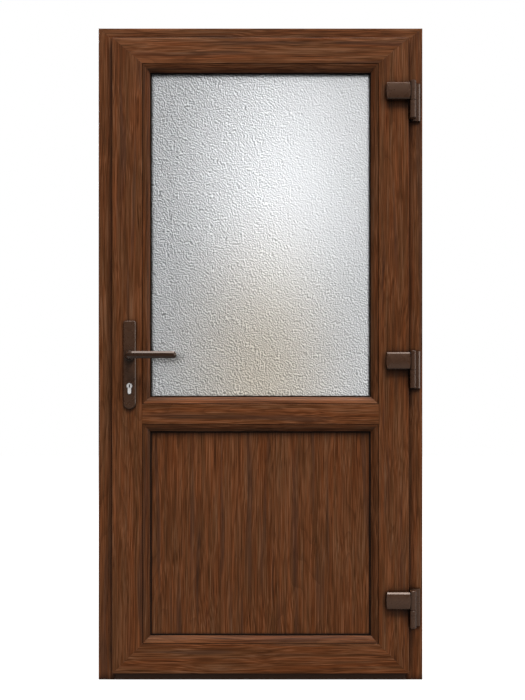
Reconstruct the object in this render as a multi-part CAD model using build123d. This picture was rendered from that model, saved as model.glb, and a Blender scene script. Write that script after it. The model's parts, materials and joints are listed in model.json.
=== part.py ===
from build123d import *
from math import radians, sin, tan
import os

# Entrance door set seen from the room: X runs to the hinge side, Y to the outside, Z up.
# The origin lies on the floor, at the middle of the threshold's base. All sizes in millimetres.

# Whole door set
door_width = 1000.0
door_height = 2010.0
frame_depth = 70.0

# Outer frame profile: a rebated bar with a sloped stop on the outside
jamb_width = 52.0
head_width = 43.0
stop_width = 20.0
stop_depth = 15.0
stop_land = 5.0
stop_slope = 8.0

# Threshold bar between the jambs
threshold_height = 30.0
threshold_stop_rise = 20.0

# Leaf: how it sits in the frame and how wide its members show
leaf_proud = 20.0
leaf_overlap = 7.0
seal_gap = 5.0
leaf_lip_width = 20.0
stile_face = 93.0
top_rail_face = 80.0
bottom_rail_face = 92.0
transom_face = 61.0
transom_centre_height = 819.0

# Edge roundings of the extruded profiles
edge_round = 3.0
seam_round = 1.0
hidden_round = 1.0

# Glazing rebate, beads and gaskets
glazing_lip_width = 23.0
glazing_lip_depth = 22.0
glazing_lip_land = 4.0
glazing_lip_slope = 8.0
glazing_clearance = 5.0
pane_thickness = 4.0
pane_spacing = 16.0
spacer_width = 13.0
outer_gasket_thickness = 3.0
inner_gasket_thickness = 4.0
gasket_cover = 12.0
gasket_show = 3.5
bead_width = 22.5
bead_set_back = 0.5
bead_seam_gap = 1.2
bead_seam_depth = 6.0
bead_shoulder_width = 12.0
bead_shoulder_drop = 5.0
bead_crown_radius = 14.0
bead_nose = 3.0
bead_nose_round = 2.0

# Weather seals between leaf and frame
seal_width = 5.0
seal_edge = 1.0
seal_running_gap = 0.5

# Lock, on the edge of the leaf away from the hinges
lock_backset = 35.0
spindle_height = 997.0
cylinder_drop = 92.0
faceplate_width = 16.0
faceplate_thickness = 2.5
faceplate_margin = 240.0
bolt_depth = 20.0
latch_length = 34.0
dead_bolt_length = 28.0
bolt_thickness = 11.0
strike_width = 24.0
strike_thickness = 3.0
strike_margin = 30.0
strike_hole_margin = 1.5
strike_pocket_depth = 18.0

# Lever handles on long backplates
backplate_width = 37.0
backplate_thickness = 8.0
backplate_rise = 107.0
backplate_drop = 162.0
backplate_top_round = 5.0
backplate_foot_flat = 1.0
backplate_chamfer = 2.0
spindle_size = 8.0
spindle_hole_radius = 7.0
spindle_socket_depth = 18.0
lever_length = 148.0
lever_height = 22.0
lever_thickness = 14.0
lever_projection = 46.0
lever_facet_height = 6.5
lever_facet_depth = 5.0
lever_facet_round = 1.0
lever_back_round = 4.0
lever_bend_radius = 16.0
collar_radius = 15.5
collar_height = 8.0
collar_round = 2.0
running_gap = 0.3

# Profile cylinder: round plug body with a narrower leg under it
cylinder_radius = 8.5
cylinder_leg_width = 10.0
cylinder_total_height = 33.0
cylinder_projection = 2.0
cylinder_clearance = 0.3
keyway_width = 3.2
keyway_height = 9.0
keyway_depth = 12.0

# Flag hinges: a block on the leaf and a plate on the frame share one pin
hinge_edge_offset = 10.0
hinge_face_offset = 11.0
barrel_radius = 9.8
barrel_above_flag = 5.0
barrel_length = 114.0
barrel_chamfer = 1.0
knuckle_gap = 0.5
knuckle_below_flag = 3.0
ring_groove_drop = 15.0
ring_groove_size = 1.2
flag_width = 74.0
flag_height = 51.0
flag_depth = 20.0
flag_overhang = 2.4
flag_bulge = 3.0
flag_crown = 2.0
flag_head_chamfer = 4.5
flag_foot_chamfer = 2.5
flag_facet_width = 9.0
flag_facet_depth = 2.0
flag_neck_depth = 8.0
flag_neck_set_back = 1.0
flag_groove_wall = 1.6
hinge_plate_inner = 4.8
hinge_plate_outer = 27.0
hinge_plate_thickness = 7.0
hinge_plate_edge = 4.0
hinge_plate_bevel = 4.5
hinge_web_width = 8.0
pin_radius = 5.0
pin_clearance = 0.05
pin_end_cover = 6.0
pin_top_room = 1.0
top_hinge_drop = 168.0
middle_hinge_height = 982.0
bottom_hinge_rise = 227.0

# Frame fixings: screw holes through both jambs
fixing_radius = 5.0
fixing_margin = 200.0
fixing_count = 4

# Cutting tools reach this far past what they cut
cut_margin = 1.0

# Depths, measured along Y from the middle of the frame
room_y = -frame_depth / 2
outside_y = frame_depth / 2
stop_y = outside_y - stop_depth
leaf_face_y = room_y - leaf_proud
leaf_back_y = stop_y - seal_gap
lip_back_y = room_y - seal_gap
glazing_y = leaf_back_y - glazing_lip_depth
unit_back_y = glazing_y - outer_gasket_thickness
unit_front_y = unit_back_y - pane_thickness - pane_spacing - pane_thickness
bead_back_y = unit_front_y - inner_gasket_thickness
lock_y = (leaf_face_y + leaf_back_y) / 2
backplate_face_y = leaf_face_y - backplate_thickness

# Rectangles across the door, each as (left, right, bottom, top)
frame_left = -door_width / 2
frame_right = door_width / 2
stop_edge = jamb_width + stop_width
head_ratio = head_width / jamb_width
head_overlap = leaf_overlap * head_ratio
frame_rect = (frame_left, frame_right, 0.0, door_height)
stop_rect = (
    frame_left + stop_edge,
    frame_right - stop_edge,
    threshold_height + threshold_stop_rise,
    door_height - stop_edge * head_ratio,
)
leaf_rect = (
    frame_left + jamb_width - leaf_overlap,
    frame_right - jamb_width + leaf_overlap,
    threshold_height - leaf_overlap,
    door_height - head_width + head_overlap,
)
leaf_left, leaf_right, leaf_bottom, leaf_top = leaf_rect
transom_bottom = transom_centre_height - transom_face / 2
transom_top = transom_centre_height + transom_face / 2
glass_rect = (leaf_left + stile_face, leaf_right - stile_face, transom_top, leaf_top - top_rail_face)
panel_rect = (leaf_left + stile_face, leaf_right - stile_face, leaf_bottom + bottom_rail_face, transom_bottom)

# Places that several pieces share
lock_edge_x = leaf_left + leaf_lip_width
spindle_x = lock_edge_x + lock_backset
cylinder_height = spindle_height - cylinder_drop
hinge_x = leaf_right + hinge_edge_offset
hinge_y = leaf_face_y - hinge_face_offset
hinge_heights = {
    "top": leaf_top - top_hinge_drop,
    "middle": middle_hinge_height,
    "bottom": leaf_bottom + bottom_hinge_rise,
}


def outline(*corners):
    """A closed flat outline. A corner is (across, along) or (across, along, rounding radius)."""
    spots = [Vector(corner[0], corner[1]) for corner in corners]
    edges = []
    ends = []
    for index, corner in enumerate(corners):
        spot = spots[index]
        if len(corner) < 3:
            ends.append((spot, spot))
            continue
        radius = corner[2]
        to_before = (spots[index - 1] - spot).normalized()
        to_after = (spots[(index + 1) % len(spots)] - spot).normalized()
        half_angle = radians(to_before.get_angle(to_after)) / 2
        start = spot + to_before * (radius / tan(half_angle))
        finish = spot + to_after * (radius / tan(half_angle))
        inward = (to_before + to_after).normalized()
        middle = spot + inward * (radius / sin(half_angle) - radius)
        edges.append(ThreePointArc(start, middle, finish))
        ends.append((start, finish))
    for index, (_, leave) in enumerate(ends):
        arrive = ends[(index + 1) % len(ends)][0]
        edges.append(Line(leave, arrive))
    return make_face(edges)


def block(x_range, y_range, z_range):
    """A plain box between two corners."""
    lows, highs = zip(x_range, y_range, z_range)
    centre = [(low + high) / 2 for low, high in zip(lows, highs)]
    size = [high - low for low, high in zip(lows, highs)]
    return Pos(*centre) * Box(*size)


def upright_slab(face, y_from, y_to):
    """An outline drawn as (across, up), given thickness from one depth to another."""
    return Pos(0, y_from, 0) * extrude(Plane.XZ * face, amount=y_to - y_from, dir=(0, 1, 0))


def inset(rect, distance):
    """The rectangle drawn in by a distance on all four sides."""
    left, right, bottom, top = rect
    return (left + distance, right - distance, bottom + distance, top - distance)


def rect_slab(rect, y_from, y_to):
    """A rectangle given thickness from one depth to another."""
    left, right, bottom, top = rect
    return block((left, right), (y_from, y_to), (bottom, top))


def rect_ring(outer, inner, y_from, y_to):
    """A flat rectangular ring between two rectangles."""
    return rect_slab(outer, y_from, y_to) - rect_slab(inner, y_from - cut_margin, y_to + cut_margin)


def to_outside(shape):
    """The same piece on the outside of the leaf."""
    return mirror(shape, about=Plane(origin=(0, lock_y, 0), z_dir=(0, 1, 0)))


# Rectangular frames of mitred bars


def mitred_bar(section, length, start_slope, end_slope):
    """A bar along Z with its section in X and Y, cut at each end by the slope (length per width)."""
    reach = section.bounding_box().max.X + cut_margin
    depth = frame_depth + leaf_proud
    corners = [
        (-cut_margin, -cut_margin * start_slope),
        (reach, reach * start_slope),
        (reach, length - reach * end_slope),
        (-cut_margin, length + cut_margin * end_slope),
    ]
    between = upright_slab(make_face(Polyline(*corners, close=True)), -depth, depth)
    return extrude(section, amount=length, dir=(0, 0, 1)) & between


def ring_bar(side, rect, widths, section):
    """One bar of a ring that goes clockwise: left, top, right, bottom. Its mitres run corner to corner."""
    left, right, bottom, top = rect
    places = {
        "left": Plane(origin=(left, 0, bottom), x_dir=(1, 0, 0), z_dir=(0, 0, 1)),
        "top": Plane(origin=(left, 0, top), x_dir=(0, 0, -1), z_dir=(1, 0, 0)),
        "right": Plane(origin=(right, 0, top), x_dir=(-1, 0, 0), z_dir=(0, 0, -1)),
        "bottom": Plane(origin=(right, 0, bottom), x_dir=(0, 0, 1), z_dir=(-1, 0, 0)),
    }
    order = list(places)
    index = order.index(side)
    before = widths[order[index - 1]]
    after = widths[order[(index + 1) % len(order)]]
    length = top - bottom if side in ("left", "right") else right - left
    bar = mitred_bar(section, length, before / widths[side], after / widths[side])
    return places[side].location * bar


# Outer frame


def frame_section(width):
    """Frame profile: across from the wall, depth from the room to the outside."""
    ratio = width / jamb_width
    return outline(
        (0, room_y, edge_round),
        (width, room_y, edge_round),
        (width, stop_y),
        (stop_edge * ratio, stop_y, hidden_round),
        (stop_edge * ratio, stop_y + stop_land),
        ((stop_edge - stop_slope) * ratio, outside_y, edge_round),
        (0, outside_y, edge_round),
    )


def threshold_section():
    """Threshold profile: height from the floor, depth from the room to the outside."""
    stop_top = threshold_height + threshold_stop_rise
    return outline(
        (0, room_y),
        (threshold_height, room_y, edge_round),
        (threshold_height, stop_y),
        (stop_top, stop_y, hidden_round),
        (stop_top, stop_y + stop_land),
        (threshold_height, outside_y, edge_round),
        (0, outside_y),
    )


def fixing_holes(x_from, x_to):
    """Screw holes through a jamb, spread evenly over its height."""
    pitch = (door_height - 2 * fixing_margin) / (fixing_count - 1)
    length = x_to - x_from + 2 * cut_margin
    holes = []
    for index in range(fixing_count):
        place = Pos((x_from + x_to) / 2, 0, fixing_margin + index * pitch)
        holes.append(place * Rot(0, 90, 0) * Cylinder(fixing_radius, length))
    return holes


def make_frame():
    widths = {"left": jamb_width, "top": head_width, "right": jamb_width, "bottom": 0.0}
    jamb = frame_section(jamb_width)
    lock_jamb = ring_bar("left", frame_rect, widths, jamb)
    hinge_jamb = ring_bar("right", frame_rect, widths, jamb)
    threshold_plane = Plane(origin=(frame_right, 0, 0), x_dir=(0, 0, 1), z_dir=(-1, 0, 0))
    threshold = threshold_plane.location * extrude(threshold_section(), amount=door_width, dir=(0, 0, 1))
    lock_jamb_holes = fixing_holes(frame_left, frame_left + jamb_width)
    hinge_jamb_holes = fixing_holes(frame_right - jamb_width, frame_right)
    pieces = {
        "frame_head": ring_bar("top", frame_rect, widths, frame_section(head_width)),
        "frame_jamb_lock_side": lock_jamb - lock_jamb_holes - strike_pockets(),
        "frame_jamb_hinge_side": hinge_jamb - hinge_jamb_holes,
        "threshold": threshold
        - rect_slab((frame_left, frame_left + jamb_width, 0, door_height), room_y, outside_y)
        - rect_slab((frame_right - jamb_width, frame_right, 0, door_height), room_y, outside_y)
        - lock_jamb
        - hinge_jamb,
        "frame_seal": rect_ring(
            inset(stop_rect, -seal_edge - seal_width),
            inset(stop_rect, -seal_edge),
            leaf_back_y + seal_running_gap,
            stop_y,
        ),
    }
    return pieces


# Leaf


def leaf_section(face):
    """Leaf profile: across from the leaf's outer edge, depth from the room to the outside."""
    ratio = face / stile_face
    sight = (stile_face + glazing_lip_width) * ratio
    return outline(
        (0, leaf_face_y, edge_round),
        (face, leaf_face_y, seam_round),
        (face, glazing_y),
        (sight, glazing_y, hidden_round),
        (sight, glazing_y + glazing_lip_land),
        (sight - glazing_lip_slope * ratio, leaf_back_y, seam_round),
        (leaf_lip_width * ratio, leaf_back_y, seam_round),
        (leaf_lip_width * ratio, lip_back_y),
        (0, lip_back_y, seam_round),
    )


def transom_section():
    """Transom profile: height about its middle, depth from the room to the outside."""
    half = transom_face / 2
    sight = half + glazing_lip_width
    back = sight - glazing_lip_slope
    return outline(
        (-half, leaf_face_y, seam_round),
        (half, leaf_face_y, seam_round),
        (half, glazing_y),
        (sight, glazing_y, hidden_round),
        (sight, glazing_y + glazing_lip_land),
        (back, leaf_back_y, seam_round),
        (-back, leaf_back_y, seam_round),
        (-sight, glazing_y + glazing_lip_land),
        (-sight, glazing_y, hidden_round),
        (-half, glazing_y),
    )


def make_leaf():
    widths = {"left": stile_face, "top": top_rail_face, "right": stile_face, "bottom": bottom_rail_face}
    stile = leaf_section(stile_face)
    lock_stile = ring_bar("left", leaf_rect, widths, stile)
    hinge_stile = ring_bar("right", leaf_rect, widths, stile)
    left, right = glass_rect[:2]
    transom_plane = Plane(origin=(right, 0, transom_centre_height), x_dir=(0, 0, 1), z_dir=(-1, 0, 0))
    transom = transom_plane.location * extrude(transom_section(), amount=right - left, dir=(0, 0, 1))
    pieces = {
        "leaf_lock_stile": lock_stile - lock_cuts(),
        "leaf_hinge_stile": hinge_stile,
        "leaf_top_rail": ring_bar("top", leaf_rect, widths, leaf_section(top_rail_face)),
        "leaf_bottom_rail": ring_bar("bottom", leaf_rect, widths, leaf_section(bottom_rail_face)),
        "leaf_transom": transom - lock_stile - hinge_stile,
        "leaf_seal": rect_ring(
            inset(leaf_rect, seal_edge),
            inset(leaf_rect, seal_edge + seal_width),
            lip_back_y,
            room_y - seal_running_gap,
        ),
    }
    return pieces


# Glazing


def bead_section():
    """Glazing bead: across from the seam towards the glass, crowned on the room side, with an open seam."""
    return outline(
        (0, bead_back_y),
        (0, leaf_face_y + bead_seam_depth),
        (bead_seam_gap, leaf_face_y + bead_seam_depth),
        (bead_seam_gap, leaf_face_y + bead_set_back, seam_round),
        (bead_shoulder_width, leaf_face_y + bead_shoulder_drop, bead_crown_radius),
        (bead_width, bead_back_y - bead_nose, bead_nose_round),
        (bead_width, bead_back_y),
    )


def make_glazing(name, rect, lip_top, lip_bottom):
    """Beads and gaskets round one opening of the leaf, named after what fills it."""
    left, right, bottom, top = rect
    widths = dict.fromkeys(("left", "top", "right", "bottom"), bead_width)
    pieces = {}
    for side in widths:
        pieces[f"{name}_bead_{side}"] = ring_bar(side, rect, widths, bead_section())
    bead_sight = inset(rect, bead_width)
    lip_sight = (left + glazing_lip_width, right - glazing_lip_width, bottom + lip_bottom, top - lip_top)
    pieces[f"{name}_gasket_inner"] = rect_ring(
        inset(bead_sight, -gasket_cover), inset(bead_sight, gasket_show), bead_back_y, unit_front_y
    )
    pieces[f"{name}_gasket_outer"] = rect_ring(
        inset(lip_sight, -gasket_cover), inset(lip_sight, gasket_show), unit_back_y, glazing_y
    )
    return pieces


def make_fillings():
    """The sealed glass unit above the transom and the flat panel below it."""
    glass = inset(glass_rect, glazing_clearance)
    gap_front_y = unit_front_y + pane_thickness
    gap_back_y = unit_back_y - pane_thickness
    pieces = {
        "glass_inner_pane": rect_slab(glass, unit_front_y, gap_front_y),
        "glass_outer_pane": rect_slab(glass, gap_back_y, unit_back_y),
        "glass_spacer": rect_ring(glass, inset(glass, spacer_width), gap_front_y, gap_back_y),
        "infill_panel": rect_slab(inset(panel_rect, glazing_clearance), unit_front_y, unit_back_y),
    }
    return pieces


# Lock


def cylinder_outline(clearance):
    """Outline of the profile cylinder, about the centre of its plug, grown by a clearance."""
    leg = cylinder_leg_width / 2 + clearance
    leg_foot = cylinder_radius - cylinder_total_height - clearance + leg
    stem = Pos(0, leg_foot / 2) * Rectangle(2 * leg, -leg_foot)
    return Circle(cylinder_radius + clearance) + stem + Pos(0, leg_foot) * Circle(leg)


def cylinder_prism(clearance, y_from, y_to):
    place = Pos(spindle_x, 0, cylinder_height)
    return place * upright_slab(cylinder_outline(clearance), y_from, y_to)


def faceplate_block():
    return block(
        (lock_edge_x, lock_edge_x + faceplate_thickness),
        (lock_y - faceplate_width / 2, lock_y + faceplate_width / 2),
        (leaf_bottom + faceplate_margin, leaf_top - faceplate_margin),
    )


def bolt_block(height, length, x_from, x_to, margin):
    """Room for the latch or the dead bolt, between two places across the door."""
    half_thickness = bolt_thickness / 2 + margin
    half_length = length / 2 + margin
    return block(
        (x_from, x_to),
        (lock_y - half_thickness, lock_y + half_thickness),
        (height - half_length, height + half_length),
    )


def bolts(x_from, x_to, margin):
    latch = bolt_block(spindle_height, latch_length, x_from, x_to, margin)
    dead_bolt = bolt_block(cylinder_height, dead_bolt_length, x_from, x_to, margin)
    return latch, dead_bolt


def spindle_hole(y_from, y_to):
    return Pos(spindle_x, 0, spindle_height) * upright_slab(Circle(spindle_hole_radius), y_from, y_to)


def lock_cuts():
    """What is cut from the lock stile: faceplate groove, bolt pockets, spindle and cylinder holes."""
    handle_hole = spindle_hole(leaf_face_y - cut_margin, leaf_back_y + cut_margin)
    cylinder_hole = cylinder_prism(cylinder_clearance, leaf_face_y - cut_margin, leaf_back_y + cut_margin)
    latch, dead_bolt = bolts(lock_edge_x, lock_edge_x + bolt_depth, 0.0)
    return [faceplate_block(), latch, dead_bolt, handle_hole, cylinder_hole]


def strike_pockets():
    """Pockets in the lock jamb behind the holes of the strike plate."""
    rebate_x = frame_left + jamb_width
    return list(bolts(rebate_x - strike_pocket_depth, rebate_x + cut_margin, strike_hole_margin))


def make_lock():
    rebate_x = frame_left + jamb_width
    latch, dead_bolt = bolts(lock_edge_x, lock_edge_x + bolt_depth, 0.0)
    strike_foot = cylinder_height - dead_bolt_length / 2 - strike_margin
    strike_head = spindle_height + latch_length / 2 + strike_margin
    strike = block(
        (rebate_x, rebate_x + strike_thickness),
        (lock_y - strike_width / 2, min(lock_y + strike_width / 2, stop_y)),
        (strike_foot, strike_head),
    )
    strike_holes = bolts(rebate_x - cut_margin, rebate_x + strike_thickness + cut_margin, strike_hole_margin)
    front_y = backplate_face_y - cylinder_projection
    back_y = 2 * lock_y - front_y
    keyway = Pos(spindle_x, 0, cylinder_height) * upright_slab(
        Rectangle(keyway_width, keyway_height), front_y - cut_margin, front_y + keyway_depth
    )
    pieces = {
        "strike_plate": strike - list(strike_holes),
        "lock_faceplate": faceplate_block() - [latch, dead_bolt],
        "lock_bolts": Compound(children=[latch, dead_bolt]),
        "lock_cylinder": cylinder_prism(0.0, front_y, back_y) - keyway - to_outside(keyway),
    }
    return pieces


# Lever handles


def make_backplate():
    half = backplate_width / 2
    foot_round = half - backplate_foot_flat / 2
    top = spindle_height + backplate_rise
    foot = spindle_height - backplate_drop
    face = outline(
        (spindle_x - half, foot, foot_round),
        (spindle_x + half, foot, foot_round),
        (spindle_x + half, top, backplate_top_round),
        (spindle_x - half, top, backplate_top_round),
    )
    plate = upright_slab(face, backplate_face_y, leaf_face_y)
    plate = chamfer(plate.faces().sort_by(Axis.Y)[0].edges(), backplate_chamfer)
    cut_from_y = backplate_face_y - cut_margin
    cut_to_y = leaf_face_y + cut_margin
    plate -= spindle_hole(cut_from_y, cut_to_y)
    return plate - cylinder_prism(cylinder_clearance, cut_from_y, cut_to_y)


def make_lever():
    """Lever on the room side: collar, neck and round-ended grip in one casting, and its square socket."""
    base_y = backplate_face_y - running_gap
    grip_y = base_y - lever_projection
    tip_x = lever_length - lever_height / 2
    front = -lever_thickness / 2
    half_height = lever_height / 2
    flat_half = half_height - lever_facet_height
    section = outline(
        (-front, half_height, lever_back_round),
        (front + lever_facet_depth, half_height, lever_facet_round),
        (front, flat_half, lever_facet_round),
        (front, -flat_half, lever_facet_round),
        (front + lever_facet_depth, -half_height, lever_facet_round),
        (-front, -half_height, lever_back_round),
    )
    path = FilletPolyline((0, base_y), (0, grip_y), (tip_x, grip_y), radius=lever_bend_radius)
    start = Plane(origin=(0, base_y, 0), x_dir=(1, 0, 0), z_dir=(0, -1, 0))
    grip = sweep(start * section, path=path)
    upper_half = section & Pos(0, half_height / 2) * Rectangle(lever_thickness, half_height)
    end = Plane(origin=(tip_x, grip_y, 0), x_dir=(0, 1, 0), z_dir=(1, 0, 0))
    tip = revolve(end * upper_half, Axis((tip_x, grip_y, 0), (0, 1, 0)), 180)
    collar = Pos(0, base_y - collar_height / 2, 0) * Rot(90, 0, 0) * Cylinder(collar_radius, collar_height)
    collar = fillet(collar.faces().sort_by(Axis.Y)[0].edges(), collar_round)
    half = spindle_size / 2
    socket = block((-half, half), (base_y - spindle_socket_depth, base_y + cut_margin), (-half, half))
    return Pos(spindle_x, 0, spindle_height) * (grip + tip + collar - socket)


def make_handles():
    base_y = backplate_face_y - running_gap
    half = spindle_size / 2
    inside_y = base_y - spindle_socket_depth
    spindle = block(
        (spindle_x - half, spindle_x + half),
        (inside_y, 2 * lock_y - inside_y),
        (spindle_height - half, spindle_height + half),
    )
    backplate = make_backplate()
    lever = make_lever()
    pieces = {
        "inside_backplate": backplate,
        "outside_backplate": to_outside(backplate),
        "inside_lever": lever,
        "outside_lever": to_outside(lever),
        "handle_spindle": spindle,
    }
    return pieces


# Hinges


def knuckle(z_from, z_to):
    """One half of a hinge barrel, chamfered at both ends."""
    barrel = Pos(hinge_x, hinge_y, (z_from + z_to) / 2) * Cylinder(barrel_radius, z_to - z_from)
    return chamfer(barrel.edges().filter_by(GeomType.CIRCLE), barrel_chamfer)


def pin_bar(radius, z_from, z_to):
    return Pos(hinge_x, hinge_y, (z_from + z_to) / 2) * Cylinder(radius, z_to - z_from)


def flag_block(foot, head):
    """The hinge's block on the leaf: bulged sides, crowned front, chamfered head and foot, end facets."""
    right = leaf_right + flag_overhang
    left = right - flag_width
    front_y = leaf_face_y - flag_depth
    crown_y = front_y + flag_crown
    middle = (foot + head) / 2
    crown_foot = foot + flag_foot_chamfer
    crown_head = head - flag_head_chamfer
    corner_left = left + flag_bulge
    corner_right = right - flag_bulge
    sides = [
        Line((corner_left, foot), (corner_right, foot)),
        ThreePointArc((corner_right, foot), (right, middle), (corner_right, head)),
        Line((corner_right, head), (corner_left, head)),
        ThreePointArc((corner_left, head), (left, middle), (corner_left, foot)),
    ]
    profile = [
        Line((leaf_face_y, foot), (leaf_face_y, head)),
        Line((leaf_face_y, head), (crown_y + flag_head_chamfer, head)),
        Line((crown_y + flag_head_chamfer, head), (crown_y, crown_head)),
        ThreePointArc((crown_y, crown_head), (front_y, middle), (crown_y, crown_foot)),
        Line((crown_y, crown_foot), (crown_y + flag_foot_chamfer, foot)),
        Line((crown_y + flag_foot_chamfer, foot), (leaf_face_y, foot)),
    ]
    plan = Polyline(
        (left, leaf_face_y),
        (left, front_y + flag_facet_depth),
        (left + flag_facet_width, front_y),
        (right - flag_facet_width, front_y),
        (right, front_y + flag_facet_depth),
        (right, leaf_face_y),
        close=True,
    )
    pillow = upright_slab(make_face(sides), front_y, leaf_face_y)
    crowned = Pos(left, 0, 0) * extrude(Plane.YZ * make_face(profile), amount=flag_width)
    faceted = Pos(0, 0, foot) * extrude(make_face(plan), amount=head - foot, dir=(0, 0, 1))
    return pillow & crowned & faceted


def hinge_plate(foot, head):
    """The hinge's plate on the frame, bevelled along its outer edge."""
    inner = hinge_x - hinge_plate_inner
    outer = hinge_x + hinge_plate_outer
    front_y = room_y - hinge_plate_thickness
    plan = Polyline(
        (inner, room_y),
        (inner, front_y),
        (outer - hinge_plate_bevel, front_y),
        (outer, room_y - hinge_plate_edge),
        (outer, room_y),
        close=True,
    )
    return Pos(0, 0, foot) * extrude(make_face(plan), amount=head - foot, dir=(0, 0, 1))


def ring_groove(height):
    """A fine groove round the hinge barrel."""
    sweep_radius = barrel_radius - ring_groove_size / 2
    ring = Cylinder(barrel_radius + cut_margin, ring_groove_size) - Cylinder(sweep_radius, ring_groove_size)
    return Pos(hinge_x, hinge_y, height) * ring


def make_hinge(height):
    """Leaf flag, frame plate and pin of one hinge, with the flag block centred on a height."""
    flag_foot = height - flag_height / 2
    flag_head = height + flag_height / 2
    barrel_top = flag_head + barrel_above_flag
    barrel_foot = barrel_top - barrel_length
    split = flag_foot - knuckle_below_flag
    pin_foot = barrel_foot + pin_end_cover
    pin_top = barrel_top - pin_end_cover - pin_top_room
    bore = pin_bar(pin_radius + pin_clearance, pin_foot, pin_top + pin_top_room)

    neck_front_y = hinge_y + flag_neck_set_back
    neck = block(
        (leaf_right - flag_bulge, hinge_x),
        (neck_front_y, neck_front_y + flag_neck_depth),
        (flag_foot + flag_foot_chamfer, flag_head - flag_foot_chamfer),
    )
    groove = block(
        (leaf_right + flag_overhang, hinge_x - pin_radius - flag_groove_wall),
        (hinge_y - barrel_radius - cut_margin, neck_front_y),
        (flag_foot, flag_head),
    )
    upper_knuckle = knuckle(split, barrel_top) - groove
    leaf_half = flag_block(flag_foot, flag_head) + neck + upper_knuckle - bore

    lower_top = split - knuckle_gap
    web = block(
        (hinge_x - hinge_web_width / 2, hinge_x + hinge_web_width / 2),
        (hinge_y, room_y),
        (barrel_foot + barrel_chamfer, lower_top - ring_groove_drop),
    )
    lower_knuckle = knuckle(barrel_foot, lower_top) - ring_groove(lower_top - ring_groove_drop)
    frame_half = hinge_plate(barrel_foot, barrel_top) + web + lower_knuckle - bore
    return leaf_half, frame_half, pin_bar(pin_radius, pin_foot, pin_top)


def make_hinges():
    pieces = {}
    for place, height in hinge_heights.items():
        leaf_half, frame_half, pin = make_hinge(height)
        pieces[f"leaf_hinge_{place}"] = leaf_half
        pieces[f"frame_hinge_{place}"] = frame_half
        pieces[f"hinge_pin_{place}"] = pin
    return pieces


def make_door():
    lip_ratio = glazing_lip_width / stile_face
    pieces = {}
    pieces.update(make_frame())
    pieces.update(make_leaf())
    pieces.update(make_glazing("glass", glass_rect, lip_ratio * top_rail_face, glazing_lip_width))
    pieces.update(make_glazing("panel", panel_rect, glazing_lip_width, lip_ratio * bottom_rail_face))
    pieces.update(make_fillings())
    pieces.update(make_lock())
    pieces.update(make_handles())
    pieces.update(make_hinges())
    return pieces


os.makedirs("parts", exist_ok=True)
for node, shape in make_door().items():
    export_step(shape, f"parts/{node}.step")
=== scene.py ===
import bmesh
import bpy
import json
from math import cos, pi, sin, tau
from mathutils import Matrix, Vector, noise


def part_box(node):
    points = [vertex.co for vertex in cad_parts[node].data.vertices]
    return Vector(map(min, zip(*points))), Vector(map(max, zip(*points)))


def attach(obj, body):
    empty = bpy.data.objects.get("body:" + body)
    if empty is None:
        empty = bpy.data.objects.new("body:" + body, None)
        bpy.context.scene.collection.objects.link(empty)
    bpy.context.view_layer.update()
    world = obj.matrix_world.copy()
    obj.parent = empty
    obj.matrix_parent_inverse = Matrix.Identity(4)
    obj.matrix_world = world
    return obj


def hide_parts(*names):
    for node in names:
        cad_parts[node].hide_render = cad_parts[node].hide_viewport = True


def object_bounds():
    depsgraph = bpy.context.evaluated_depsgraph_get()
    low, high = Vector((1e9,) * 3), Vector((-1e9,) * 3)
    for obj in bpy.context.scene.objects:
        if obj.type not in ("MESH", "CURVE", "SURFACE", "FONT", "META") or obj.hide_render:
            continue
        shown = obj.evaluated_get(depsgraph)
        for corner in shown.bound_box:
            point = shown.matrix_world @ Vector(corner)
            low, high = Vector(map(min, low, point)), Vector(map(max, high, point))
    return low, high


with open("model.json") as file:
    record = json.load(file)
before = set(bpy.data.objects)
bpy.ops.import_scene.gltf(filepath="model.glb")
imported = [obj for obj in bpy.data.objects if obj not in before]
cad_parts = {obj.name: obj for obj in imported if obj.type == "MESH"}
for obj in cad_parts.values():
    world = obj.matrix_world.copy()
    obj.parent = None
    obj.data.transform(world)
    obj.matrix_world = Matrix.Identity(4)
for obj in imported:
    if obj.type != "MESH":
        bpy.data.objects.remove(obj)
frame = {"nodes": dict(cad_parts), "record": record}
cad_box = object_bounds()
nodes = frame["nodes"]

# Lengths are in metres, in the frame of the CAD model: the room side faces -Y, the hinges are at +X.

# Photograph: its frame in pixels, and where the door stands in it
photo_width = 525
photo_height = 700
pixel_of_middle = 260.5
pixel_of_floor = 679.5
pixel_size_on_frame = 0.003086

# Camera: level, straight in front of the frame's room face, its sensor in millimetres
camera_distance = 2.6
camera_height = 0.815
sensor_side = 36.0

# Studio lamps: place, width, height and watts
lamp_target = (0.0, 0.0, 1.0)
key_lamp = ((2.0, -6.6, 13.4), 7.0, 5.0, 2650.0)
rear_lamp = ((-2.4, 5.4, 3.9), 2.0, 2.0, 300.0)

# Glows that only reflections show: direction, reach, brightness and tallness
overhead_glow = ((0.1, -0.2, 0.97), 0.50, 8.5, 1.0)
side_glow = ((0.95, -0.28, 0.06), 0.28, 4.3, 3.5)

# Background and floor
world_through_glass = 0.8
floor_half = 14.0
floor_drop = 0.0005
floor_glow = 0.92
floor_glow_through_glass = 0.5

# What shows through the glass
backdrop_distance = 0.7
backdrop_half = 1.4
yard_white = (1.0, 1.0, 1.02, 1.0)
yard_warm = (1.0, 0.86, 0.68, 1.0)

# Obscured glass: the relief of the mesh, and the finer ripple of the material, with painted shade and light
# on the ripple's flanks
relief_pitch = 0.00275
relief_wave = 0.0095
relief_depth = 0.0006
relief_swirl = 0.005
ridge_share = 0.55
dimple_share = 0.25
dimple_size = 0.6
curl_scale = 28.0
curl_reach = 0.02
ripple_scale = 210.0
ripple_detail = 1.5
ripple_step = (0.0012, 0.0, 0.0014)
steepest_slope = 0.075
painted_shade_flank = (0.20, 0.20, 0.21, 1.0)
painted_light_flank = (1.00, 1.00, 1.00, 1.0)

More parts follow.
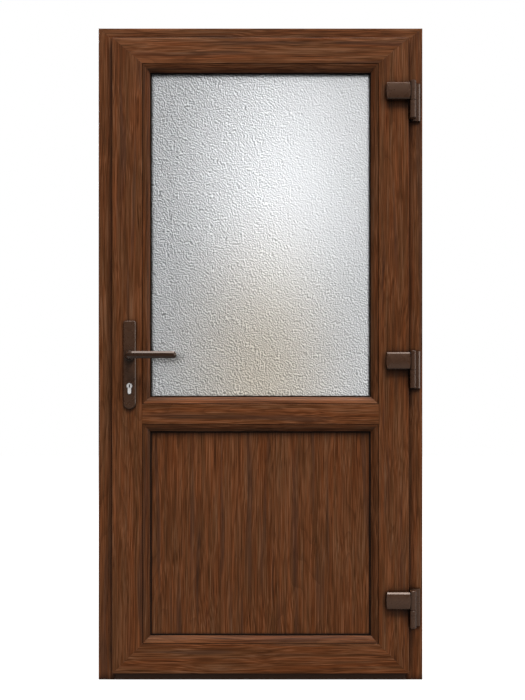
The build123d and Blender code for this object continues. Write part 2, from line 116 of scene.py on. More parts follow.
# Grain of the film: lines to the metre across the bar, their stretch along it, detail and roughness
sway_grain = (9.0, 5.0, 2.0, 0.5)
sway_reach = 0.03
band_grain = (24.0, 12.0, 2.0, 0.5)
streak_grain = (120.0, 55.0, 2.0, 0.5)
fibre_grain = (330.0, 90.0, 2.0, 0.6)
hair_grain = (640.0, 90.0, 1.0, 0.5)
pore_grain = (640.0, 36.0, 1.0, 0.5)
vein_grain = (46.0, 26.0, 2.0, 0.5)
hue_grain = (70.0, 20.0, 3.0, 0.6)
ring_grain = (13.0, 11.0, 1.0, 0.4)
ring_count = 16.0

# Shares of bands, streaks, fibres and hairs in the tone of the film
layer_weights = (0.30, 0.36, 0.62, 1.35)

# Browns of the film, from the darkest grain to the lightest
film_browns = [
    (0.18, (0.040, 0.0115, 0.0025)),
    (0.38, (0.082, 0.0250, 0.0064)),
    (0.52, (0.113, 0.0370, 0.0120)),
    (0.66, (0.148, 0.0525, 0.0200)),
    (0.86, (0.190, 0.079, 0.037)),
]
ruddy_tint = (1.06, 0.95, 0.82, 1.0)
olive_tint = (0.92, 1.05, 1.16, 1.0)
vein_brown = (0.044, 0.021, 0.013, 1.0)
streak_brown = (0.033, 0.011, 0.003, 1.0)
ring_brown = (0.038, 0.012, 0.003, 1.0)
pore_brown = (0.024, 0.007, 0.002, 1.0)

# Fine lines and fasteners
weld_line_radius = 0.0002
screw_radius = 0.0036
screw_rise = 0.0006
screw_slot_width = 0.0008
screw_slot_depth = 0.0005
screw_end_inset = 0.02
lower_screw_height = 0.31
upper_screw_drop = 0.36
screw_below_cylinder = 0.012
screw_above_cylinder = 0.02
strike_screw_inset = 0.014
plug_radius = 0.0069
plug_line_radius = 0.00022
# Painted shade in the keyway: a dark box standing just proud
keyway_width = 0.0042
keyway_height = 0.0095
keyway_sink = -0.0001
keyway_shade_depth = 0.008
cylinder_pin_radius = 0.0007
cylinder_pin_drops = (0.0125, 0.0185)


# Node trees


def add_node(tree, kind, inputs=None, **settings):
    """A shader node with its settings, its input values and its incoming links."""
    made = tree.nodes.new(kind)
    for name, value in settings.items():
        setattr(made, name, value)
    for name, value in (inputs or {}).items():
        if isinstance(value, bpy.types.NodeSocket):
            tree.links.new(value, made.inputs[name])
        else:
            made.inputs[name].default_value = value
    return made


def maths(tree, operation, first, second=0.0):
    return add_node(tree, "ShaderNodeMath", {0: first, 1: second}, operation=operation).outputs[0]


def vector_maths(tree, operation, first, second):
    return add_node(tree, "ShaderNodeVectorMath", {0: first, 1: second}, operation=operation).outputs[0]


def remap(tree, value, from_low, from_high, to_low, to_high, interpolation="LINEAR"):
    """The value taken from one range to another, and held at the ends."""
    inputs = {"Value": value, 1: from_low, 2: from_high, 3: to_low, 4: to_high}
    return add_node(tree, "ShaderNodeMapRange", inputs, interpolation_type=interpolation).outputs[0]


def smooth_step(tree, value, from_low, from_high, to_low, to_high):
    return remap(tree, value, from_low, from_high, to_low, to_high, "SMOOTHSTEP")


def mix_values(tree, factor, first, second):
    return add_node(tree, "ShaderNodeMix", {0: factor, 2: first, 3: second}).outputs[0]


def mix_colours(tree, factor, first, second, blend="MIX"):
    made = add_node(
        tree, "ShaderNodeMix", {0: factor, 6: first, 7: second}, data_type="RGBA", blend_type=blend
    )
    return made.outputs[2]


def ramp(tree, value, stops):
    """Colour ramp with (place, colour) stops."""
    made = add_node(tree, "ShaderNodeValToRGB", {"Fac": value})
    elements = made.color_ramp.elements
    while len(elements) < len(stops):
        elements.new(0.5)
    for element, (place, colour) in zip(elements, stops):
        element.position = place
        element.color = (*colour, 1.0)
    return made.outputs["Color"]


def cloud(tree, place, scale, detail=2.0, roughness=0.5):
    """Noise about a place, as a value around one half."""
    inputs = {"Vector": place, "Scale": scale, "Detail": detail, "Roughness": roughness}
    return add_node(tree, "ShaderNodeTexNoise", inputs).outputs["Fac"]


def drawn_out(tree, place, along, stretch):
    """The place squeezed along one axis, so that noise about it is drawn out along that axis."""
    squeeze = [1.0, 1.0, 1.0]
    squeeze["xyz".index(along)] = 1.0 / stretch
    return vector_maths(tree, "MULTIPLY", place, tuple(squeeze))


def bump(tree, height, distance, strength):
    inputs = {"Height": height, "Distance": distance, "Strength": strength}
    return add_node(tree, "ShaderNodeBump", inputs).outputs["Normal"]


def painted_corner_shade(tree, colour, reach, deepest):
    """The colour darkened by ambient occlusion in corners and seams: painted shade."""
    openness = add_node(tree, "ShaderNodeAmbientOcclusion", {"Distance": reach}, samples=6).outputs["AO"]
    shade = remap(tree, openness, 0.45, 0.95, deepest, 1.0)
    grey = add_node(tree, "ShaderNodeCombineColor", {0: shade, 1: shade, 2: shade}).outputs[0]
    return mix_colours(tree, 1.0, colour, grey, "MULTIPLY")


def new_material(name):
    """A material with an empty tree but for its principled shader, and the object's own coordinates."""
    material = bpy.data.materials.new(name)
    material.use_nodes = True
    tree = material.node_tree
    tree.nodes.clear()
    shader = add_node(tree, "ShaderNodeBsdfPrincipled")
    output = add_node(tree, "ShaderNodeOutputMaterial")
    tree.links.new(shader.outputs["BSDF"], output.inputs["Surface"])
    place = add_node(tree, "ShaderNodeTexCoord").outputs["Object"]
    return material, tree, shader, place


def finish_shader(tree, shader, links, **values):
    """Sets the shader's constant inputs and links the others."""
    for name, value in values.items():
        shader.inputs[name.replace("_", " ")].default_value = value
    for name, socket in links.items():
        tree.links.new(socket, shader.inputs[name])


def show_shader(tree, shown):
    """Puts a shader in the place of the one that a new material shows."""
    output = next(node for node in tree.nodes if node.type == "OUTPUT_MATERIAL")
    tree.links.new(shown.outputs[0], output.inputs["Surface"])


# Materials


def wood_film(name, along, tone_and_painted_shade_level, contrast, shade_reach, deepest_shade):
    """Walnut-pattern film: bands, streaks, fibres, veins and pores along one axis, different on each bar."""
    material, tree, shader, place = new_material(name)
    chance = add_node(tree, "ShaderNodeObjectInfo").outputs["Random"]
    shifts = [maths(tree, "MULTIPLY", chance, span) for span in (7.3, 3.1, 11.7)]
    shift = add_node(tree, "ShaderNodeCombineXYZ", {0: shifts[0], 1: shifts[1], 2: shifts[2]}).outputs[0]
    start = vector_maths(tree, "ADD", place, shift)

    def grain(source, scale, stretch, detail, roughness):
        return cloud(tree, drawn_out(tree, source, along, stretch), scale, detail, roughness)

    sway = maths(tree, "SUBTRACT", grain(start, *sway_grain), 0.5)
    sway = maths(tree, "MULTIPLY", sway, sway_reach)
    sway = add_node(tree, "ShaderNodeCombineXYZ", {0: sway, 1: sway, 2: sway}).outputs[0]
    wavy = vector_maths(tree, "ADD", start, sway)
    bands = grain(wavy, *band_grain)
    streaks = grain(wavy, *streak_grain)
    fibres = grain(wavy, *fibre_grain)
    hairs = grain(wavy, *hair_grain)
    pores = grain(start, *pore_grain)
    veins = grain(wavy, *vein_grain)
    hues = grain(start, *hue_grain)

    tone = 0.5
    for layer, weight in zip((bands, streaks, fibres, hairs), layer_weights):
        part = maths(tree, "MULTIPLY", maths(tree, "SUBTRACT", layer, 0.5), weight * contrast)
        tone = maths(tree, "ADD", part, tone)
    # The level scales the browns: a tone for the bars, and painted shade for the beads.
    stops = [(spot, tuple(tone_and_painted_shade_level * share for share in brown)) for spot, brown in film_browns]
    colour = ramp(tree, tone, stops)
    ruddy = mix_colours(tree, 1.0, colour, ruddy_tint, "MULTIPLY")
    olive = mix_colours(tree, 1.0, colour, olive_tint, "MULTIPLY")
    colour = mix_colours(tree, remap(tree, hues, 0.36, 0.64, 0.0, 1.0), ruddy, olive)
    dark_veins = remap(tree, veins, 0.33, 0.43, 0.50, 0.0)
    colour = mix_colours(tree, dark_veins, colour, vein_brown)
    dark_streaks = remap(tree, streaks, 0.34, 0.44, 0.22, 0.0)
    colour = mix_colours(tree, dark_streaks, colour, streak_brown)
    rings = maths(tree, "FRACT", maths(tree, "MULTIPLY", grain(wavy, *ring_grain), ring_count))
    ring_lines = remap(tree, rings, 0.0, 0.30, 0.34, 0.0)
    colour = mix_colours(tree, ring_lines, colour, ring_brown)
    pore_mask = remap(tree, pores, 0.60, 0.72, 0.0, 0.60)
    colour = mix_colours(tree, pore_mask, colour, pore_brown)
    # Painted shade: the film is darkened in corners and seams.
    colour = painted_corner_shade(tree, colour, shade_reach, deepest_shade)
    roughness = remap(tree, streaks, 0.3, 0.7, 0.50, 0.40)
    relief = maths(tree, "SUBTRACT", fibres, maths(tree, "MULTIPLY", pore_mask, 0.8))
    finish_shader(
        tree,
        shader,
        {"Base Color": colour, "Roughness": roughness, "Normal": bump(tree, relief, 0.0001, 0.5)},
        Specular_IOR_Level=0.15,
    )
    return material


def dark_hardware(name, dark, light, smoothest, roughest):
    """Dark brown powder coat with its fine orange peel."""
    material, tree, shader, place = new_material(name)
    patches = cloud(tree, place, 60.0, 3.0)
    peel = cloud(tree, place, 1400.0, 2.0)
    colour = mix_colours(tree, patches, (*dark, 1.0), (*light, 1.0))
    # Painted shade: the coat is darkened in corners and seams.
    colour = painted_corner_shade(tree, colour, 0.018, 0.12)
    finish_shader(
        tree,
        shader,
        {
            "Base Color": colour,
            "Roughness": remap(tree, patches, 0.3, 0.7, smoothest, roughest),
            "Normal": bump(tree, peel, 0.00001, 0.6),
        },
        Specular_IOR_Level=0.8,
        Specular_Tint=(1.0, 0.84, 0.74, 1.0),
    )
    return material


def obscured_glass():
    """Rolled glass: a finer ripple than the mesh has, with painted shade and light on its flanks, strongest
    at the left and the foot.
    """
    material, tree, shader, place = new_material("obscured_glass")
    flat = vector_maths(tree, "MULTIPLY", place, (1.0, 0.0, 1.0))
    inputs = {"Vector": flat, "Scale": curl_scale, "Detail": 1.0}
    turn = add_node(tree, "ShaderNodeTexNoise", inputs).outputs["Color"]
    turn = vector_maths(tree, "MULTIPLY", turn, (curl_reach, 0.0, curl_reach))
    curled = vector_maths(tree, "ADD", flat, turn)
    ripple = cloud(tree, curled, ripple_scale, ripple_detail)
    uphill = vector_maths(tree, "ADD", curled, ripple_step)
    slope = maths(tree, "SUBTRACT", ripple, cloud(tree, uphill, ripple_scale, ripple_detail))
    sides = add_node(tree, "ShaderNodeSeparateXYZ", {0: place}).outputs
    # The painted shade and light are strongest at the left and the foot.
    depth = maths(
        tree,
        "ADD",
        remap(tree, sides["X"], -0.33, 0.12, 2.0, 0.30),
        remap(tree, sides["Z"], 0.90, 1.40, 0.55, 0.0),
    )
    slope = maths(tree, "MULTIPLY", slope, depth)
    # Painted shade and light: the ripple's slope towards one side turns into darker and lighter glass.
    lit = remap(tree, slope, -steepest_slope, steepest_slope, 0.0, 1.0)
    colour = mix_colours(tree, lit, painted_shade_flank, painted_light_flank)
    finish_shader(
        tree,
        shader,
        {
            "Base Color": colour,
            "Roughness": remap(tree, ripple, 0.3, 0.7, 0.34, 0.40),
            "Normal": bump(tree, ripple, 0.0014, 1.0),
        },
        IOR=1.5,
        Transmission_Weight=1.0,
    )
    return material


def clear_glass():
    """The plain outer pane, with the faint waviness of float glass."""
    material, tree, shader, place = new_material("clear_glass")
    drift = cloud(tree, place, 6.0, 1.0)
    colour = mix_colours(tree, drift, (0.93, 0.96, 0.95, 1.0), (0.96, 0.97, 0.97, 1.0))
    finish_shader(
        tree,
        shader,
        {"Base Color": colour, "Normal": bump(tree, drift, 0.0004, 0.2)},
        Roughness=0.02,
        IOR=1.5,
        Transmission_Weight=1.0,
    )
    return material


def black_rubber():
    """Seals and gaskets, dull and a little speckled."""
    material, tree, shader, place = new_material("black_rubber")
    specks = cloud(tree, place, 900.0, 2.0)
    colour = mix_colours(tree, specks, (0.005, 0.0035, 0.003, 1.0), (0.010, 0.007, 0.006, 1.0))
    finish_shader(
        tree,
        shader,
        {"Base Color": colour, "Normal": bump(tree, specks, 0.0001, 0.4)},
        Roughness=0.8,
        Specular_IOR_Level=0.12,
    )
    return material


def brushed_metal(name, dark, light, roughness, along, metallic=1.0):
    """Bare or plated metal with hairlines along one axis."""
    material, tree, shader, place = new_material(name)
    hairlines = cloud(tree, drawn_out(tree, place, along, 50.0), 2600.0, 3.0)
    patches = cloud(tree, place, 35.0, 3.0)
    lined = maths(tree, "MULTIPLY", hairlines, 0.6)
    worn = maths(tree, "ADD", lined, maths(tree, "MULTIPLY", patches, 0.4))
    finish_shader(
        tree,
        shader,
        {
            "Base Color": mix_colours(tree, worn, (*dark, 1.0), (*light, 1.0)),
            "Roughness": remap(tree, worn, 0.3, 0.7, roughness * 0.85, roughness * 1.2),
            "Normal": bump(tree, hairlines, 0.00005, 0.5),
        },
        Metallic=metallic,
    )
    return material


def threshold_metal():
    """Dark anodised threshold, drawn along its length and a little scuffed."""
    material, tree, shader, place = new_material("dark_threshold")
    lines = cloud(tree, drawn_out(tree, place, "x", 50.0), 1500.0, 3.0)
    scuffs = cloud(tree, vector_maths(tree, "MULTIPLY", place, (1.0, 0.3, 1.0)), 90.0, 4.0, 0.65)
    scuffed = remap(tree, scuffs, 0.58, 0.72, 0.0, 0.4)
    colour = mix_colours(tree, lines, (0.066, 0.030, 0.015, 1.0), (0.090, 0.042, 0.022, 1.0))
    colour = mix_colours(tree, scuffed, colour, (0.045, 0.026, 0.018, 1.0))
    finish_shader(
        tree,
        shader,
        {"Base Color": colour, "Normal": bump(tree, lines, 0.0001, 0.4)},
        Roughness=0.5,
        Specular_IOR_Level=0.25,
    )
    return material


def touch_up_paint():
    """Dark touch-up colour along the weld lines."""
    material, tree, shader, place = new_material("weld_touch_up")
    patches = cloud(tree, place, 220.0, 3.0)
    colour = mix_colours(tree, patches, (0.075, 0.028, 0.011, 1.0), (0.105, 0.039, 0.015, 1.0))
    finish_shader(
        tree,
        shader,
        {"Base Color": colour, "Normal": bump(tree, patches, 0.0001, 0.4)},
        Roughness=0.5,
        Specular_IOR_Level=0.3,
    )
    return material


# Copies of the film: the level bars' film is a lighter tone, and the bead films are darker with deeper corner
# shade, painted shade on the beads sunk in the leaf.
upright_film = wood_film(
    "wood_film_upright", "z", tone_and_painted_shade_level=1.0, contrast=0.82, shade_reach=0.028, deepest_shade=0.12
)
level_film = wood_film(
    "wood_film_level", "x", tone_and_painted_shade_level=1.11, contrast=1.08, shade_reach=0.028, deepest_shade=0.12
)
panel_film = wood_film(
    "wood_film_panel", "z", tone_and_painted_shade_level=1.0, contrast=0.90, shade_reach=0.008, deepest_shade=0.30
)
upright_bead_film = wood_film(
    "wood_film_upright_beads", "z", tone_and_painted_shade_level=0.82, contrast=1.0, shade_reach=0.055, deepest_shade=0.10
)
level_bead_film = wood_film(
    "wood_film_level_beads", "x", tone_and_painted_shade_level=1.0, contrast=1.0, shade_reach=0.055, deepest_shade=0.10
)
weld_paint = touch_up_paint()
hardware = dark_hardware(
    "dark_powder_coat", (0.044, 0.0190, 0.0098), (0.058, 0.027, 0.0140), smoothest=0.25, roughest=0.32
)
# Painted shade: the levers get a darker copy of the powder coat.
lever_painted_shade_coat = dark_hardware(
    "dark_lever_coat", (0.024, 0.0105, 0.0055), (0.032, 0.0145, 0.0075), smoothest=0.20, roughest=0.26
)
rolled_glass = obscured_glass()
float_glass = clear_glass()
rubber = black_rubber()
zinc = brushed_metal("zinc_plated_steel", (0.46, 0.46, 0.47), (0.62, 0.62, 0.63), 0.34, "z")
nickel = brushed_metal("satin_nickel", (0.80, 0.78, 0.77), (0.92, 0.90, 0.89), 0.30, "x", 0.3)
aluminium = brushed_metal("mill_aluminium", (0.55, 0.56, 0.57), (0.70, 0.70, 0.71), 0.40, "z")
# Near black for the fine joint lines of the cylinder plug, and painted shade in the keyways, pin holes and
# screw slots.
joint_and_recess_shade = brushed_metal("dark_joints_and_painted_recess_shade", (0.012, 0.012, 0.013), (0.022, 0.021, 0.021), 0.6, "z", 0.0)
anodised = threshold_metal()

slot_materials = {
    "dark_hardware": hardware,
    "glass": float_glass,
    "gasket": rubber,
    "bright_steel": zinc,
    "cylinder": nickel,
    "spacer": aluminium,
    "threshold": anodised,
}
level_words = ("head", "top", "bottom", "transom", "rail")


def dress_cad_nodes():
    """Each CAD node gets the material of its slot, and wood grain runs along the member."""
    for row in frame["record"]["subparts"]:
        name = row["node"]
        slot = row["material_slot"]
        if slot == "wood_film":
            level = any(word in name.split("_") for word in level_words)
            if name == "infill_panel":
                material = panel_film
            elif "bead" in name.split("_"):
                material = level_bead_film if level else upright_bead_film
            else:
                material = level_film if level else upright_film
        # The levers take the darker copy of the coat, painted shade.
        elif "lever" in name.split("_"):
            material = lever_painted_shade_coat
        else:
            material = slot_materials[slot]
        mesh = nodes[name].data
        mesh.materials.clear()
        mesh.materials.append(material)


# Pieces


def new_piece(name, mesh_or_curve, material, body):
    """Puts finished data into the scene as a piece that rides on a body."""
    piece = bpy.data.objects.new(name, mesh_or_curve)
    bpy.context.scene.collection.objects.link(piece)
    mesh_or_curve.materials.append(material)
    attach(piece, body)
    return piece


def glass_relief(x, z):
    """Depth of the rolled relief below the pane's face, from 0 to 1: short curled ridges."""
    turn = noise.noise_vector(Vector((x, 0.0, z)) / (relief_wave * 4.0))
    spot = Vector((x, 0.0, z)) + turn * relief_swirl
    ridges = noise.noise(spot / relief_wave)
    dimples = noise.noise(spot / (relief_wave * dimple_size) + Vector((9.0, 4.0, 2.0)))
    return min(1.0, max(0.0, 0.5 + ridge_share * ridges + dimple_share * dimples))


def make_relief_pane():
    """Inner pane: a fine grid with the relief on the room side, closed by flat edges and a flat back."""
    low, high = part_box("glass_inner_pane")
    columns = round((high.x - low.x) / relief_pitch)
    rows = round((high.z - low.z) / relief_pitch)
    vertices = []
    for row in range(rows + 1):
        z = low.z + (high.z - low.z) * row / rows
        for column in range(columns + 1):
            x = low.x + (high.x - low.x) * column / columns
            vertices.append((x, low.y + relief_depth * glass_relief(x, z), z))
    width = columns + 1
    faces = []
    for row in range(rows):
        for column in range(columns):
            corner = row * width + column
            faces.append((corner, corner + 1, corner + width + 1, corner + width))
    front_count = len(faces)

    rim = list(range(columns))
    rim += [row * width + columns for row in range(rows)]
    rim += [rows * width + column for column in range(columns, 0, -1)]
    rim += [row * width for row in range(rows, 0, -1)]
    back_start = len(vertices)
    for index in rim:
        x, _, z = vertices[index]
        vertices.append((x, high.y, z))
    count = len(rim)
    for step in range(count):
        after = (step + 1) % count
        faces.append((rim[after], rim[step], back_start + step, back_start + after))
    faces.append([back_start + step for step in reversed(range(count))])

    mesh = bpy.data.meshes.new("glass_relief_pane")
    mesh.from_pydata(vertices, [], faces)
    smooth = [index < front_count for index in range(len(faces))]
    mesh.polygons.foreach_set("use_smooth", smooth)
    mesh.update()
    pane = new_piece("glass_relief_pane", mesh, rolled_glass, "leaf")
    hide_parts("glass_inner_pane")


def mitre_outlines(node):
    """Outlines of a bar's mitred end faces, as closed lists of points."""
    shape = bmesh.new()
    shape.from_mesh(nodes[node].data)
    bmesh.ops.remove_doubles(shape, verts=shape.verts, dist=1e-6)
    slanted = set()
    for face in shape.faces:
        normal = face.normal
        if abs(normal.y) < 0.01 and abs(normal.x) > 0.2 and abs(normal.z) > 0.2:
            slanted.add(face)
    border = [edge for edge in shape.edges if sum(face in slanted for face in edge.link_faces) == 1]
    follow = {}
    for edge in border:
        for vert in edge.verts:
            follow.setdefault(vert, []).append(edge.other_vert(vert))
    outlines = []
    left = set(follow)
    while left:
        first = min(left, key=lambda vert: vert.index)
        line = [first]
        left.discard(first)
        while True:
            ahead = [vert for vert in follow[line[-1]] if vert in left]
            if not ahead:
                break
            line.append(ahead[0])
            left.discard(ahead[0])
        outlines.append([vert.co.copy() for vert in line])
    shape.free()
    return outlines


def inside_box(spot, margin):
    """The spot, moved inside the CAD box by a margin where it lies on the box."""
    low, high = cad_box
    return [min(max(value, low[axis] + margin), high[axis] - margin) for axis, value in enumerate(spot)]


def make_weld_lines(name, bars, body):
    """Fine raised lines where mitred bars are welded or butt together."""
    curve = bpy.data.curves.new(name, "CURVE")
    curve.dimensions = "3D"
    curve.bevel_depth = weld_line_radius
    curve.bevel_resolution = 1
    for bar in bars:
        for outline in mitre_outlines(bar):
            spline = curve.splines.new("POLY")
            spline.points.add(len(outline) - 1)
            for point, spot in zip(spline.points, outline):
                point.co = (*inside_box(spot, weld_line_radius), 1.0)
            spline.use_cyclic_u = True
    new_piece(name, curve, weld_paint, body)


def ring_curve(name, radius, thickness, places):
    """Fine dark rings on the cylinder, flat in the XZ plane, one about each place."""
    curve = bpy.data.curves.new(name, "CURVE")
    curve.dimensions = "3D"
    curve.bevel_depth = thickness
    curve.bevel_resolution = 1
    steps = 32
    for place in places:
        spline = curve.splines.new("POLY")
        spline.points.add(steps - 1)
        for step, point in enumerate(spline.points):
            angle = tau * step / steps
            point.co = (place.x + radius * cos(angle), place.y, place.z + radius * sin(angle), 1.0)
        spline.use_cyclic_u = True
    new_piece(name, curve, joint_and_recess_shade, "leaf")


def make_cylinder_details():
    """On both ends of the cylinder: the edge of the plug, painted shade in its keyway as a dark box, and
    painted shade in the pin holes on the leg as dark rings.
    """
    low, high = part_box("lock_cylinder")
    middle_x = (low.x + high.x) / 2
    plug_z = high.z - (high.x - low.x) / 2
    faces = [low.y, high.y]
    plug_places = [Vector((middle_x, y, plug_z)) for y in faces]
    ring_curve("cylinder_plug_edges", plug_radius, plug_line_radius, plug_places)
    # Painted shade: dark boxes stand just proud in the keyways.
    keyway_dark_boxes = bmesh.new()
    for y, inward in zip(faces, (1.0, -1.0)):
        corners = bmesh.ops.create_cube(keyway_dark_boxes, size=1.0)["verts"]
        size = (keyway_width, keyway_shade_depth, keyway_height)
        middle = (middle_x, y + inward * (keyway_sink + keyway_shade_depth / 2), plug_z)
        spread = Matrix.Translation(middle) @ Matrix.Diagonal((*size, 1.0))
        bmesh.ops.transform(keyway_dark_boxes, matrix=spread, verts=corners)
    mesh = bpy.data.meshes.new("cylinder_keyways")
    keyway_dark_boxes.to_mesh(mesh)
    keyway_dark_boxes.free()
    new_piece("cylinder_keyways", mesh, joint_and_recess_shade, "leaf")
    pin_places = [Vector((middle_x, y, plug_z - drop)) for y in faces for drop in cylinder_pin_drops]
    # Painted shade: dark rings in the pin holes.
    ring_curve("cylinder_pin_marks", cylinder_pin_radius / 2, cylinder_pin_radius / 2, pin_places)


def slotted_screws(name, places, outward, body):
    """Flat screw heads standing a little proud along one direction, with painted shade as dark bars in their
    cross slots.
    """
    shape = bmesh.new()
    turn = Vector(outward).to_track_quat("Z", "Y").to_matrix().to_4x4()
    for place in places:
        head = bmesh.ops.create_cone(
            shape,
            cap_ends=True,
            segments=24,
            radius1=screw_radius,
            radius2=screw_radius * 0.82,
            depth=screw_rise,
        )["verts"]
        bmesh.ops.translate(shape, verts=head, vec=(0.0, 0.0, screw_rise / 2))
        bmesh.ops.transform(shape, matrix=Matrix.Translation(place) @ turn, verts=head)
    mesh = bpy.data.meshes.new(name)
    shape.to_mesh(mesh)
    shape.free()
    new_piece(name, mesh, zinc, body)

    # Painted shade: dark bars stand in the cross slots.
    slots = bmesh.new()
    for place in places:
        for swing in (0.0, pi / 2):
            bar = bmesh.ops.create_cube(slots, size=1.0)["verts"]
            size = (screw_radius * 1.2, screw_slot_width, screw_slot_depth)
            lift = Matrix.Translation((0.0, 0.0, screw_rise - screw_slot_depth * 0.4))
            spread = Matrix.Rotation(swing, 4, "Z") @ Matrix.Diagonal((*size, 1.0))
            bmesh.ops.transform(slots, matrix=Matrix.Translation(place) @ turn @ lift @ spread, verts=bar)
    slot_mesh = bpy.data.meshes.new(f"{name}_slots")
    slots.to_mesh(slot_mesh)
    slots.free()
    new_piece(f"{name}_slots", slot_mesh, joint_and_recess_shade, body)


def make_lock_screws():
    """Screws along the lock faceplate and in the strike plate, clear of their bolt holes."""
    low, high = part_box("lock_faceplate")
    middle_y = (low.y + high.y) / 2
    cylinder_low, cylinder_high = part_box("lock_cylinder")
    heights = [
        low.z + screw_end_inset,
        low.z + lower_screw_height,
        cylinder_low.z - screw_below_cylinder,
        cylinder_high.z + screw_above_cylinder,
        high.z - upper_screw_drop,
        high.z - screw_end_inset,
    ]
    places = [Vector((low.x, middle_y, z)) for z in heights]
    slotted_screws("faceplate_screws", places, (-1.0, 0.0, 0.0), "leaf")

    low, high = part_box("strike_plate")
    middle_y = (low.y + high.y) / 2
    heights = [low.z + strike_screw_inset, high.z - strike_screw_inset]
    places = [Vector((high.x, middle_y, z)) for z in heights]
    slotted_screws("strike_screws", places, (1.0, 0.0, 0.0), "frame")


# Studio


def make_lamp(name, place, width, height, power):
    """A soft lamp that shines on the middle of the door and that the camera doesn't see."""
    lamp = bpy.data.lights.new(name, "AREA")
    lamp.shape = "RECTANGLE"
    lamp.size = width
    lamp.size_y = height
    lamp.energy = power
    thing = bpy.data.objects.new(name, lamp)
    bpy.context.scene.collection.objects.link(thing)
    thing.location = place
    thing.rotation_euler = (Vector(lamp_target) - thing.location).to_track_quat("-Z", "Y").to_euler()
    thing.visible_camera = False
    return thing


def make_world():
    """White to the camera, paler through glass, soft light from above, and glows in reflections."""
    world = bpy.data.worlds.new("studio")
    bpy.context.scene.world = world
    world.use_nodes = True
    world.cycles.sampling_method = "NONE"
    tree = world.node_tree
    tree.nodes.clear()
    direction = add_node(tree, "ShaderNodeTexCoord").outputs["Generated"]
    rays = add_node(tree, "ShaderNodeLightPath").outputs
    parts = add_node(tree, "ShaderNodeSeparateXYZ", {0: direction}).outputs

    def patch(centre, radius, brightness, tallness):
        """A soft patch of light about one direction, round or drawn out upwards and downwards."""
        offset = vector_maths(tree, "SUBTRACT", direction, Vector(centre).normalized())
        offset = vector_maths(tree, "MULTIPLY", offset, (1.0, 1.0, 1.0 / tallness))
        distance = add_node(tree, "ShaderNodeVectorMath", {0: offset}, operation="LENGTH").outputs["Value"]
        return smooth_step(tree, distance, 0.0, radius, brightness, 0.0)

    # Soft light is strongest from above and weakest from the sides
    soft = smooth_step(tree, parts["Z"], 0.0, 0.95, 0.24, 1.4)
    sideways = remap(tree, maths(tree, "ABSOLUTE", parts["X"]), 0.4, 0.95, 1.0, 0.3)
    soft = maths(tree, "MULTIPLY", soft, sideways)
    # Reflections show the glows on a sky that is dark at the horizon
    gloss = maths(tree, "ADD", patch(*overhead_glow), patch(*side_glow))
    gloss = maths(tree, "ADD", gloss, remap(tree, parts["Z"], 0.1, 0.45, 0.03, 0.32))
    strength = mix_values(tree, rays["Is Glossy Ray"], soft, gloss)
    strength = mix_values(tree, rays["Is Transmission Ray"], strength, world_through_glass)
    strength = mix_values(tree, rays["Is Camera Ray"], strength, 1.0)
    white = (1.0, 1.0, 1.0, 1.0)
    background = add_node(tree, "ShaderNodeBackground", {"Color": white, "Strength": strength})
    output = add_node(tree, "ShaderNodeOutputWorld")
    tree.links.new(background.outputs[0], output.inputs["Surface"])


def backdrop_material():
    """Seen only through glass: a misty yard, brightest up to the right, warm and darker at the foot."""
    material, tree, shader, place = new_material("misty_yard")
    parts = add_node(tree, "ShaderNodeSeparateXYZ", {0: place}).outputs

    def patch(x, z, half_width, half_height):
        """One at a place, falling smoothly to nothing on an ellipse about it."""
        across = maths(tree, "DIVIDE", maths(tree, "SUBTRACT", parts["X"], x), half_width)
        up = maths(tree, "DIVIDE", maths(tree, "SUBTRACT", parts["Z"], z), half_height)
        squares = [maths(tree, "MULTIPLY", offset, offset) for offset in (across, up)]
        distance = maths(tree, "SQRT", maths(tree, "ADD", *squares))
        return smooth_step(tree, distance, 0.0, 1.0, 1.0, 0.0)

    mist = remap(tree, cloud(tree, place, 3.0, 2.0), 0.3, 0.7, 0.97, 1.03)
    level = remap(tree, parts["X"], -0.38, 0.38, 0.68, 1.00)
    bright = patch(x=0.075, z=1.75, half_width=0.52, half_height=0.74)
    level = maths(tree, "ADD", level, maths(tree, "MULTIPLY", bright, 0.94))
    foot = patch(x=0.0, z=0.94, half_width=0.46, half_height=0.80)
    level = maths(tree, "ADD", level, maths(tree, "MULTIPLY", foot, 0.03))
    level = maths(tree, "MULTIPLY", level, mist)
    colour = mix_colours(tree, foot, yard_white, yard_warm)
    glow = add_node(tree, "ShaderNodeEmission", {"Color": colour, "Strength": level})
    clear = add_node(tree, "ShaderNodeBsdfTransparent")
    through_glass = add_node(tree, "ShaderNodeLightPath").outputs["Is Transmission Ray"]
    shaders = {0: through_glass, 1: clear.outputs[0], 2: glow.outputs[0]}
    show_shader(tree, add_node(tree, "ShaderNodeMixShader", shaders))
    tree.nodes.remove(shader)
    return material


def make_backdrop():
    """The yard stands a little way behind the door."""
    half = backdrop_half
    y = backdrop_distance
    mesh = bpy.data.meshes.new("backdrop")
    corners = [(-half, y, 0.0), (half, y, 0.0), (half, y, 2 * half), (-half, y, 2 * half)]
    mesh.from_pydata(corners, [], [(0, 1, 2, 3)])
    mesh.materials.append(backdrop_material())
    backdrop = bpy.data.objects.new("backdrop", mesh)
    bpy.context.scene.collection.objects.link(backdrop)


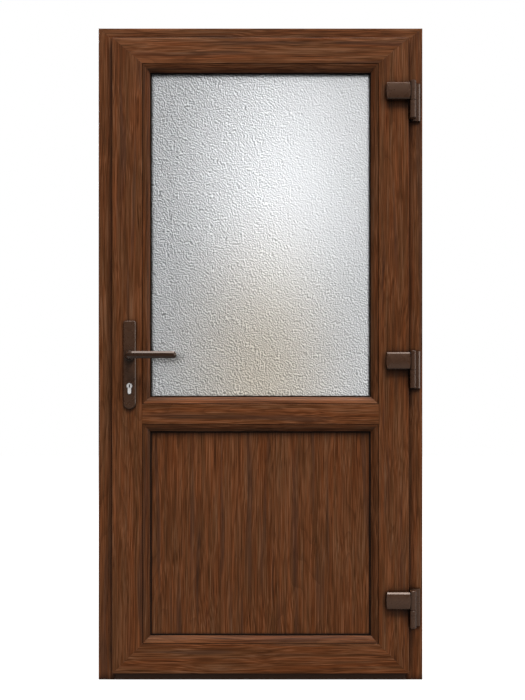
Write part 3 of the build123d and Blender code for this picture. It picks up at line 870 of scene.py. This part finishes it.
def floor_material():
    """Pale floor: it keeps shadows, and to the camera it runs into the white background."""
    material, tree, shader, place = new_material("studio_floor")
    specks = cloud(tree, place, 40.0, 2.0)
    colour = mix_colours(tree, specks, (0.16, 0.16, 0.16, 1.0), (0.18, 0.18, 0.18, 1.0))
    finish_shader(tree, shader, {"Base Color": colour}, Roughness=0.9, Specular_IOR_Level=0.0)
    rays = add_node(tree, "ShaderNodeLightPath").outputs
    through_glass = maths(tree, "MULTIPLY", rays["Is Transmission Ray"], floor_glow_through_glass)
    seen = maths(tree, "MULTIPLY", rays["Is Camera Ray"], floor_glow)
    lift = maths(tree, "MAXIMUM", seen, through_glass)
    emission = add_node(tree, "ShaderNodeEmission", {"Color": (1.0, 1.0, 1.0, 1.0), "Strength": lift})
    show_shader(tree, add_node(tree, "ShaderNodeAddShader", {0: shader.outputs[0], 1: emission.outputs[0]}))
    return material


def make_floor():
    """The floor lies a hair below the threshold, so that no faces coincide."""
    half = floor_half
    mesh = bpy.data.meshes.new("floor")
    corners = [(-half, -half, 0.0), (half, -half, 0.0), (half, half, 0.0), (-half, half, 0.0)]
    mesh.from_pydata(corners, [], [(0, 1, 2, 3)])
    mesh.materials.append(floor_material())
    floor = bpy.data.objects.new("floor", mesh)
    floor.location.z = -floor_drop
    bpy.context.scene.collection.objects.link(floor)


def make_camera():
    """Level camera in front of the door, with the small shift that the photograph's framing needs."""
    face_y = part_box("frame_head")[0].y
    view_height = photo_height * pixel_size_on_frame
    middle_height = (pixel_of_floor - photo_height / 2) * pixel_size_on_frame
    camera = bpy.data.cameras.new("camera")
    camera.sensor_width = sensor_side
    camera.lens = sensor_side * camera_distance / view_height
    camera.shift_x = (photo_width / 2 - pixel_of_middle) / photo_height
    camera.shift_y = (middle_height - camera_height) / view_height
    thing = bpy.data.objects.new("camera", camera)
    bpy.context.scene.collection.objects.link(thing)
    thing.location = (0.0, face_y - camera_distance, camera_height)
    thing.rotation_euler = (pi / 2, 0.0, 0.0)
    bpy.context.scene.camera = thing


dress_cad_nodes()
make_relief_pane()
make_weld_lines("frame_weld_lines", ["frame_jamb_lock_side", "frame_jamb_hinge_side"], "frame")
make_weld_lines("leaf_weld_lines", ["leaf_lock_stile", "leaf_hinge_stile"], "leaf")
bead_bars = [f"{filling}_bead_{side}" for filling in ("glass", "panel") for side in ("left", "right")]
make_weld_lines("bead_mitre_lines", bead_bars, "leaf")
make_cylinder_details()
make_lock_screws()

make_world()
make_floor()
make_backdrop()
make_lamp("key_lamp", *key_lamp).visible_glossy = False
make_lamp("rear_lamp", *rear_lamp).visible_transmission = False
make_camera()
bpy.context.scene.view_settings.view_transform = "Standard"
